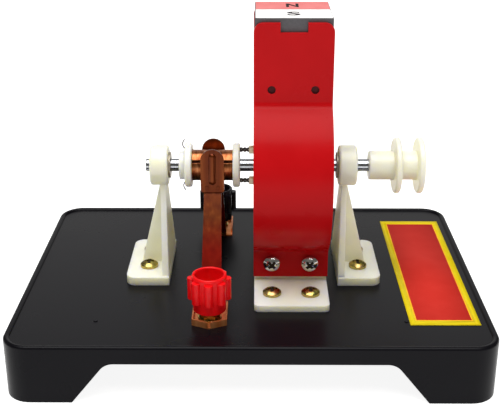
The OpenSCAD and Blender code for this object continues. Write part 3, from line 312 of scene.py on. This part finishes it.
# CAD pieces that keep their shape, as node: (material, edge radius in mm). The radius is what
# moulding, rolling or tumbling leaves on the real edge
dressed = {
    "base": (blackAbs, 0.3), "label_panel": (redFilm, 0), "label_border": (yellowFilm, 0),
    "left_bracket": (naturalNylon, 0.8), "right_bracket": (naturalNylon, 0.8),
    "left_bush": (sinteredIron, 0.15), "right_bush": (sinteredIron, 0.15),
    "magnet_seat": (naturalNylon, 0.5), "bracket_screws": (yellowZinc, 0.12),
    "seat_screws": (yellowZinc, 0.12), "pole_plate_screws": (brightNickel, 0.12),
    "front_pole_plate": (redEnamel, 0.6), "rear_pole_plate": (redEnamel, 0.6),
    "magnet_block": (groundFerrite, 0.3),
    "terminal_nuts": (yellowZinc, 0.2), "terminal_washers": (yellowZinc, 0.1),
    "red_cap_insert": (yellowZinc, 0.15), "black_cap_insert": (yellowZinc, 0.15),
    "red_cap": (redKnob, 0.25), "black_cap": (blackKnob, 0.25),
    "front_brush_arm": (brownCopper, 0.12), "rear_brush_arm": (brownCopper, 0.12),
    "front_brush_leaf": (brownCopper, 0.25), "rear_brush_leaf": (brownCopper, 0.25),
    "brush_rivets": (brownCopper, 0.1), "shaft": (groundSteel, 0.1),
    "thrust_collar": (naturalNylon, 0.1), "commutator_left_flange": (naturalNylon, 0.1),
    "commutator_right_flange": (naturalNylon, 0.1), "commutator_core": (brownPhenolic, 0),
    "commutator_segment_a": (wornCopper, 0.15), "commutator_segment_b": (wornCopper, 0.15),
    "segment_tails": (varnishedWire, 0), "lead_tags": (tinnedBrass, 0.2),
    "terminal_disc": (naturalNylon, 0.2), "armature_core": (stackedSteel, 0.25),
    "coil_former_a": (naturalNylon, 0.25), "coil_former_b": (naturalNylon, 0.25),
    "winding_core_a": (enamelWire, 0), "winding_core_b": (enamelWire, 0),
    "pulley": (naturalNylon, 0.2),
}
# Distances in mm, angles in degrees: what counts as one point, as one flat and as an edge
edging = {"weld": 0.002, "flatAngle": 0.3, "edgeAngle": 32, "segments": 3, "flatWeight": 80}


def dressNode(node, material, radius):
    # Joins the CAD piece's loose triangles, rounds its sharp edges and gives it its material
    piece = frame["nodes"][node]
    piece.data.materials.clear()
    piece.data.materials.append(material)
    piece.data.polygons.foreach_set("use_smooth", [True] * len(piece.data.polygons))
    weld = piece.modifiers.new("joinTriangles", "WELD")
    weld.merge_threshold = edging["weld"] * mm
    flat = piece.modifiers.new("joinFlats", "DECIMATE")
    flat.decimate_type = "DISSOLVE"
    flat.angle_limit = math.radians(edging["flatAngle"])
    if radius:
        soften = piece.modifiers.new("softEdges", "BEVEL")
        soften.width = radius * mm
        soften.segments = edging["segments"]
        soften.limit_method = "ANGLE"
        soften.angle_limit = math.radians(edging["edgeAngle"])
        level = piece.modifiers.new("levelFlats", "WEIGHTED_NORMAL")
        level.weight = edging["flatWeight"]


for node, (material, radius) in dressed.items():
    dressNode(node, material, radius)
print("CAD pieces dressed:", len(dressed))


def addPiece(name, mesh, material, nodes, body=None, smoothAngle=35):
    # A finished piece on its body, standing for these CAD nodes
    mesh.materials.clear()
    mesh.materials.append(material)
    mesh.polygons.foreach_set("use_smooth", [True] * len(mesh.polygons))
    mesh.set_sharp_from_angle(angle=math.radians(smoothAngle))
    piece = bpy.data.objects.new(name, mesh)
    bpy.context.scene.collection.objects.link(piece)
    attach(piece, body or bodyOf[nodes[0]])
    if nodes:
        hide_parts(*nodes)
    return piece


def meshOf(name, bm):
    # The finished bmesh as a mesh, its faces pointing outwards
    mesh = bpy.data.meshes.new(name)
    bmesh.ops.recalc_face_normals(bm, faces=bm.faces)
    bm.to_mesh(mesh)
    bm.free()
    return mesh


def curveMesh(curve):
    # A curve or a text as a mesh
    loose = bpy.data.objects.new(curve.name + "Curve", curve)
    bpy.context.scene.collection.objects.link(loose)
    solved = loose.evaluated_get(bpy.context.evaluated_depsgraph_get())
    mesh = bpy.data.meshes.new_from_object(solved)
    bpy.data.objects.remove(loose)
    return mesh


# Pole marks: margins, gap and sizes in mm; stroke is how much the letter's lines are thickened
marks = {"sideMargin": 0.3, "rearMargin": 0.7, "seam": 0.25, "thickness": 0.12,
         "corner": 0.5, "cornerSegments": 3,
         "letterHeight": 7.0, "letterWidth": 4.8, "letterThickness": 0.02, "stroke": 0.035}


def markFilm(node, letter, filmMaterial, rear):
    # A strip of film on the ferrite block, with its pole letter printed on it
    low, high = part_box(node)
    thickness = marks["thickness"] * mm
    x0, x1 = low.x + marks["sideMargin"] * mm, high.x - marks["sideMargin"] * mm
    y0 = low.y + (marks["seam"] / 2 if rear else marks["sideMargin"]) * mm
    y1 = high.y - (marks["rearMargin"] if rear else marks["seam"] / 2) * mm
    bm = bmesh.new()
    bmesh.ops.create_cube(bm, size=1.0)
    bmesh.ops.scale(bm, verts=bm.verts, vec=(x1 - x0, y1 - y0, thickness))
    bmesh.ops.translate(bm, verts=bm.verts,
                        vec=((x0 + x1) / 2, (y0 + y1) / 2, low.z + thickness / 2))
    upright = [e for e in bm.edges if abs((e.verts[0].co - e.verts[1].co).z) > thickness / 2]
    bmesh.ops.bevel(bm, geom=upright, offset=marks["corner"] * mm, affect="EDGES",
                    segments=marks["cornerSegments"], profile=0.5, material=-1)
    addPiece(letter + "_film", meshOf(letter + "_film", bm), filmMaterial, [node])

    text = bpy.data.curves.new(letter, "FONT")
    text.body = letter
    text.align_x, text.align_y = "CENTER", "CENTER"
    text.offset = marks["stroke"]
    text.extrude = 0.5  # any depth does, because the letter is brought to its size below
    mesh = curveMesh(text)
    lowest, highest = (Vector([pick(v.co[i] for v in mesh.vertices) for i in range(3)])
                       for pick in (min, max))
    size = highest - lowest
    fit = (marks["letterWidth"] * mm / size.x, marks["letterHeight"] * mm / size.y,
           marks["letterThickness"] * mm / size.z)
    mesh.transform(Matrix.Translation(-(lowest + size / 2)))
    mesh.transform(Matrix.Diagonal((*fit, 1)))
    mesh.transform(Matrix.Translation(
        ((low.x + high.x) / 2, (low.y + high.y) / 2, low.z + thickness)))
    letterPiece = addPiece(letter + "_letter", mesh, blackInk, [], body=bodyOf[node])


markFilm("north_mark", "N", pinkFilm, True)
markFilm("south_mark", "S", whiteFilm, False)

# The thin orange line around the label's red field
labelLine = {"width": 0.7, "thickness": 0.02}
low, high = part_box("label_panel")
bm = bmesh.new()
bmesh.ops.create_grid(bm, x_segments=1, y_segments=1, size=0.5)
bmesh.ops.scale(bm, verts=bm.verts, vec=(high.x - low.x, high.y - low.y, 1))
bmesh.ops.translate(bm, verts=bm.verts,
                    vec=((low.x + high.x) / 2, (low.y + high.y) / 2, high.z))
bmesh.ops.inset_region(bm, faces=bm.faces, thickness=labelLine["width"] * mm, use_boundary=True)
inner = max(bm.faces, key=lambda f: f.calc_area())
bmesh.ops.delete(bm, geom=[inner], context="FACES")
bmesh.ops.solidify(bm, geom=bm.faces, thickness=-labelLine["thickness"] * mm)
line = addPiece("label_line", meshOf("label_line", bm), orangeFilm, [], body="stand")
print("marks and label made")

# Where the magnet and the shaft lie, in metres
low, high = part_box("magnet_block")
blockX = (low.x + high.x) / 2
low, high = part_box("shaft")
shaftY, shaftZ = (low.y + high.y) / 2, (low.z + high.z) / 2

# Painted shade in the pole plates' dimples, as a thin dark cup in each, sizes in mm
dimple = {"radius": 1.48, "wall": 0.04, "depth": 0.96, "below": 0.02,
          "half": 8.05, "rise": 35.78,  # from the magnet's middle and from the shaft
          "plateDepth": 17.6,  # outer face of a plate from the shaft
          "steps": 32, "merge": 0.005}
innerRadius, innerDepth = dimple["radius"] - dimple["wall"], dimple["depth"] - dimple["wall"]
profile = [(0, dimple["depth"]), (dimple["radius"], dimple["depth"]),
           (dimple["radius"], dimple["below"]), (innerRadius, dimple["below"]),
           (innerRadius, innerDepth), (0, innerDepth)]
bm = bmesh.new()
for side in (-1, 1):
    for end in (-1, 1):
        middle = Vector((blockX + end * dimple["half"] * mm, shaftY,
                         shaftZ + dimple["rise"] * mm))
        rim = [bm.verts.new(middle + Vector((r, side * (dimple["plateDepth"] - d), 0)) * mm)
               for r, d in profile]
        edges = [bm.edges.new(pair) for pair in zip(rim, rim[1:])]
        bmesh.ops.spin(bm, geom=[*rim, *edges], cent=middle, axis=(0, 1, 0), angle=2 * math.pi,
                       steps=dimple["steps"], use_merge=True, use_duplicate=False)
bmesh.ops.remove_doubles(bm, verts=bm.verts, dist=dimple["merge"] * mm)
dimpleShade = addPiece("dimple_painted_shade", meshOf("dimple_painted_shade", bm), dimpleShadeEnamel, [], body="stand")

# Painted shade in the screws' cross recesses, which makes each one read as a dark cross, sizes in
# mm
recessShadeSize = {"bar": 3.6, "width": 1.1, "thickness": 0.7,
         "below": 1.54,  # floor of a recess under the top of the head
         "onBrackets": (-41.9, 43.5), "bracketRows": (-4.2, 11.0),
         "seatHalf": 7.5, "plateRise": 32.7,  # from the magnet's middle and from the floor
         "plateTurn": 45}  # degrees


def paintShadeCross(bm, headTop, outward, turn):
    # A plus of painted shade on the floor of one recess: headTop is the middle of the head's dome,
    # outward its direction. It starts as a grid with its points at 0.5 and 1.5 along each axis
    made = bmesh.ops.create_grid(bm, x_segments=3, y_segments=3, size=1.5)
    halfBar, halfWidth = recessShadeSize["bar"] * mm / 2, recessShadeSize["width"] * mm / 2
    for vert in made["verts"]:
        for axis in (0, 1):
            reach = halfBar if abs(vert.co[axis]) > 1 else halfWidth
            vert.co[axis] = math.copysign(reach, vert.co[axis])
    faces = {face for vert in made["verts"] for face in vert.link_faces}
    corners = [f for f in faces if min(abs(c) for c in f.calc_center_median().xy) > halfWidth]
    bmesh.ops.delete(bm, geom=corners, context="FACES")
    cross = [face for face in faces if face.is_valid]
    raised = bmesh.ops.extrude_face_region(bm, geom=cross, use_keep_orig=True)
    top = [item for item in raised["geom"] if isinstance(item, bmesh.types.BMVert)]
    bmesh.ops.translate(bm, verts=top, vec=(0, 0, recessShadeSize["thickness"] * mm))
    everyVert = {vert for face in cross for vert in face.verts} | set(top)
    stand = Vector((0, 0, 1)).rotation_difference(Vector(outward)).to_matrix().to_4x4()
    spin = Matrix.Rotation(math.radians(turn), 4, "Z")
    lift = Matrix.Translation((0, 0, -recessShadeSize["below"] * mm))
    bmesh.ops.transform(bm, matrix=Matrix.Translation(headTop) @ stand @ spin @ lift,
                        verts=list(everyVert))


bm = bmesh.new()
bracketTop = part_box("bracket_screws")[1].z
for x in recessShadeSize["onBrackets"]:
    for y in recessShadeSize["bracketRows"]:
        paintShadeCross(bm, Vector((x * mm, y * mm, bracketTop)), (0, 0, 1), 0)
seatLow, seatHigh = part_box("seat_screws")
plateLow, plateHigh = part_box("pole_plate_screws")
headRadius = (seatHigh.x - seatLow.x) / 2 - recessShadeSize["seatHalf"] * mm
for end in (-1, 1):
    x = blockX + end * recessShadeSize["seatHalf"] * mm
    for y in (seatLow.y + headRadius, seatHigh.y - headRadius):
        paintShadeCross(bm, Vector((x, y, seatHigh.z)), (0, 0, 1), 0)
    for side, y in ((-1, plateLow.y), (1, plateHigh.y)):
        paintShadeCross(bm, Vector((x, y, recessShadeSize["plateRise"] * mm)), (0, side, 0), recessShadeSize["plateTurn"])
recessShadePiece = addPiece("recess_painted_shade", meshOf("recess_painted_shade", bm), recessShadeFill, [], body="stand")
print("dimples and recesses filled")

# Windings: sizes in mm, in the armature's own frame with its poles along y
coil = {"restAngle": 31.5,  # degrees that the armature is turned at rest
        "middleX": 15.6, "firstY": 8.35, "lastY": 25.1, "halfX": 12.75, "halfZ": 8.75,
        "wire": 0.42, "corner": 0.5,  # power that squares the turns, 1 for an ellipse
        "pointsPerTurn": 36, "rounding": 1}
shaftLine = Vector((0, shaftY / mm, shaftZ / mm))


def onRotor(point):
    # A point in the armature's frame to the place where it stands at rest, in mm
    return Matrix.Rotation(math.radians(-coil["restAngle"]), 4, "X") @ Vector(point) + shaftLine


def wirePiece(name, paths, thickness, material, nodes, rounding):
    # Wire along each path of points in mm, made a mesh; rounding is how round its section is
    curve = bpy.data.curves.new(name, "CURVE")
    curve.dimensions = "3D"
    curve.bevel_depth = thickness * mm / 2
    curve.bevel_resolution = rounding
    curve.use_fill_caps = True
    for path in paths:
        spline = curve.splines.new("POLY")
        spline.points.add(len(path) - 1)
        for target, point in zip(spline.points, path):
            target.co = [c * mm for c in point] + [1]
    addPiece(name, curveMesh(curve), material, nodes, smoothAngle=60)


def coilPath(side):
    # One wire wound closely round the limb, from the inner cheek to the outer cheek
    turns = int((coil["lastY"] - coil["firstY"]) / coil["wire"])
    count = turns * coil["pointsPerTurn"]
    path = []
    for i in range(count + 1):
        angle = 2 * math.pi * i / coil["pointsPerTurn"]
        x, z = math.cos(angle), math.sin(angle)
        x = math.copysign(abs(x) ** coil["corner"], x) * coil["halfX"]
        z = math.copysign(abs(z) ** coil["corner"], z) * coil["halfZ"]
        y = coil["firstY"] + (coil["lastY"] - coil["firstY"]) * i / count
        path.append(onRotor((coil["middleX"] + x, side * y, side * z)))
    return path


for name, side, node in (("coil_a", -1, "winding_a"), ("coil_b", 1, "winding_b")):
    wirePiece(name, [coilPath(side)], coil["wire"], enamelWire, [node], coil["rounding"])

# Leads: two twisted pairs, sizes in mm, twist in degrees
leads = {"from": -4.6, "to": -1.0, "offset": 6.5, "strand": 0.9, "spread": 0.5,
         "twist": 450, "points": 40, "rounding": 3}


def leadPath(side, start):
    # One strand of a pair, wound round the pair's middle line
    path = []
    for i in range(leads["points"] + 1):
        share = i / leads["points"]
        angle = math.radians(start + leads["twist"] * share)
        path.append(shaftLine + Vector((
            leads["from"] + (leads["to"] - leads["from"]) * share,
            leads["spread"] * math.cos(angle),
            side * leads["offset"] + leads["spread"] * math.sin(angle))))
    return path


leadPaths = [leadPath(side, start) for side in (-1, 1) for start in (0, 180)]
wirePiece("lead_wires", leadPaths, leads["strand"], varnishedWire, ["coil_leads"],
          leads["rounding"])
print("windings and leads made")

# Terminal studs with their thread, sizes in mm; flank is half a ridge as a share of the pitch
thread = {"places": [(-15.4, -42.0), (-15.4, 45.0)], "core": 1.62, "crest": 1.98, "pitch": 0.7,
          "lowZ": 15.1, "highZ": 33.2, "steps": 20, "flank": 0.42, "crestHalf": 0.06,
          "rooted": 0.1, "segments": 32}
length = thread["highZ"] - thread["lowZ"]
turns = int(length / thread["pitch"]) - 1
half = thread["pitch"] * thread["flank"]
root = thread["core"] - thread["rooted"]
z = thread["lowZ"] + half
ridge = [(root, z - half), (thread["crest"], z - thread["crestHalf"]),
         (thread["crest"], z + thread["crestHalf"]), (root, z + half)]
bm = bmesh.new()
for x, y in thread["places"]:
    centre = Vector((x, y, 0)) * mm
    made = bmesh.ops.create_cone(bm, cap_ends=True, segments=thread["segments"],
                                 radius1=thread["core"] * mm, radius2=thread["core"] * mm,
                                 depth=length * mm)
    bmesh.ops.translate(bm, verts=made["verts"],
                        vec=centre + Vector((0, 0, thread["lowZ"] + length / 2)) * mm)
    section = [bm.verts.new(centre + Vector((r, 0, h)) * mm) for r, h in ridge]
    face = bm.faces.new(section)
    bmesh.ops.spin(bm, geom=[face, *face.edges, *section], cent=centre, axis=(0, 0, 1),
                   dvec=(0, 0, thread["pitch"] * mm / thread["steps"]),
                   angle=2 * math.pi * turns, steps=turns * thread["steps"],
                   use_duplicate=False)
addPiece("threaded_studs", meshOf("threaded_studs", bm), yellowZinc, ["terminal_studs"])
print("studs made")

# Floor, light and camera, in metres
stage = {"floorSize": 6.0, "skyStrength": 0.17, "skyColor": "#EEECE4"}
# Opal acrylic, lit from below: an even white that swallows most of the shadow
opalFloor = makeFinish("backlitOpalAcrylic", {
    "Roughness": 0.6, "Specular IOR Level": 0.2, "Emission Color": "#FFFFFF",
    "Emission Strength": 0.9}, {
    "patch": 1.11, "detail": 3, "tones": [(0.3, "#B4B4B3"), (0.7, "#B9B9B8")]})
bm = bmesh.new()
bmesh.ops.create_grid(bm, x_segments=1, y_segments=1, size=stage["floorSize"] / 2)
floorMesh = bpy.data.meshes.new("floor")
bm.to_mesh(floorMesh)
bm.free()
floorMesh.materials.append(opalFloor)
floor = bpy.data.objects.new("floor", floorMesh)
bpy.context.scene.collection.objects.link(floor)

world = bpy.data.worlds.new("softRoom")
bpy.context.scene.world = world
world.use_nodes = True
sky = world.node_tree.nodes["Background"].inputs
sky["Color"].default_value = hexColor(stage["skyColor"])
sky["Strength"].default_value = stage["skyStrength"]

# place, target, size in metres, power in watts, colour
lamps = {
    "overheadBox": ((-0.1, -0.2, 1.1), (0, 0, 0.0), 1.0, 16.0, "#FFFFFF"),
    "frontBox": ((-0.4, -1.0, 0.7), (0, 0, 0.06), 0.5, 0.05, "#FFE8C8"),
    "rearBox": ((0.0, 1.2, 0.5), (0, 0, 0.03), 1.2, 3.0, "#FFFFFF"),
    "smallSpot": ((0.35, -0.55, 0.75), (0, 0, 0.06), 0.1, 0.5, "#FFFFFF"),
}
for name, (spot, target, size, power, color) in lamps.items():
    light = bpy.data.lights.new(name, "AREA")
    light.energy = power
    light.color = hexColor(color)[:3]
    light.size = size
    lamp = bpy.data.objects.new(name, light)
    lamp.location = spot
    lamp.rotation_euler = (Vector(target) - Vector(spot)).to_track_quat("-Z", "Y").to_euler()
    bpy.context.scene.collection.objects.link(lamp)

# The photograph's viewing angle: focal length and sensor in mm, place in metres, radians
view = {"lens": 69.31, "sensor": 36, "place": (0.00207, -0.36035, 0.19929),
        "down": 0.388, "roll": 0.001, "left": 0.007}
bpy.context.scene.view_settings.view_transform = "Standard"
camera = bpy.data.cameras.new("camera")
camera.lens = view["lens"]
camera.sensor_width = view["sensor"]
cameraObject = bpy.data.objects.new("camera", camera)
cameraObject.location = view["place"]
cameraObject.rotation_euler = (math.pi / 2 - view["down"], view["roll"], view["left"])
bpy.context.scene.collection.objects.link(cameraObject)
bpy.context.scene.camera = cameraObject
print("floor, lamps and camera set")
